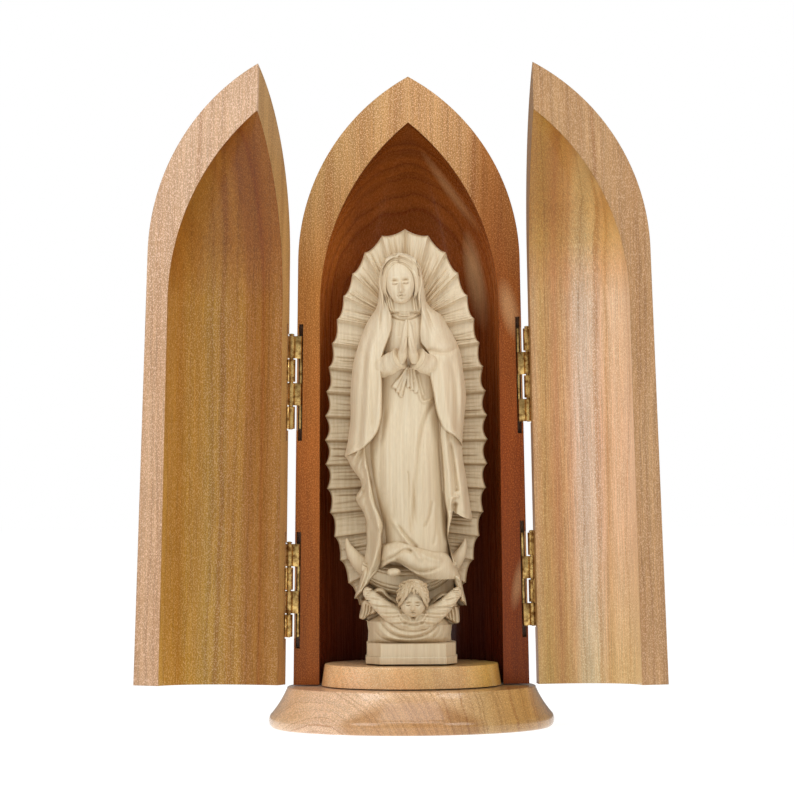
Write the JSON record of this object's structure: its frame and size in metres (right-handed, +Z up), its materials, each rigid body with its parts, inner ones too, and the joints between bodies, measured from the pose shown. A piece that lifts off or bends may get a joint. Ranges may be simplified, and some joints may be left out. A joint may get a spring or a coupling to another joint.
{
  "type": "religious statue in hinged niche",
  "caption": "Carved praying veiled woman with ray mandorla on an angel plinth, inside a bullet-shaped wooden niche with two hinged quarter doors on a turned foot.",
  "frame": {"origin": "centre of the turned foot's flat underside", "axes": "+Z up through the niche's axis, -Y towards the viewer who looks into the open niche, +X to that viewer's right"},
  "size_m": [0.1389, 0.0756, 0.1738],
  "materials": {
    "foot_wood": "clear satin varnish over pale orange-beige hardwood",
    "disc_wood": "clear satin varnish over light orange hardwood",
    "niche_wood": "semi-gloss varnish over reddish brown hardwood",
    "door_wood": "satin varnish over golden brown hardwood",
    "maple": "oiled carved pale maple",
    "hinge_brass": "polished brass"
  },
  "bodies": {
    "niche": {"foot": "foot_wood", "pedestal_disc": "disc_wood", "back_shell": "niche_wood", "statue": "maple", "left_top_shell_leaf": "hinge_brass", "left_top_pin": "hinge_brass", "left_bottom_shell_leaf": "hinge_brass", "left_bottom_pin": "hinge_brass", "right_top_shell_leaf": "hinge_brass", "right_top_pin": "hinge_brass", "right_bottom_shell_leaf": "hinge_brass", "right_bottom_pin": "hinge_brass"},
    "left_door_body": {"left_door": "door_wood", "left_top_door_leaf": "hinge_brass", "left_bottom_door_leaf": "hinge_brass"},
    "right_door_body": {"right_door": "door_wood", "right_top_door_leaf": "hinge_brass", "right_bottom_door_leaf": "hinge_brass"}
  },
  "joints": [
    {"name": "left_door_hinge", "type": "hinge", "parent": "niche", "child": "left_door_body", "pos_m": [-0.0329, 0, 0.0112], "axis": [0.017, 0, 0.9999], "range_deg": [-63.7, 106.3]},
    {"name": "right_door_hinge", "type": "hinge", "parent": "niche", "child": "right_door_body", "pos_m": [0.0329, 0, 0.0112], "axis": [-0.017, 0, 0.9999], "range_deg": [-93.5, 76.5]}
  ]
}
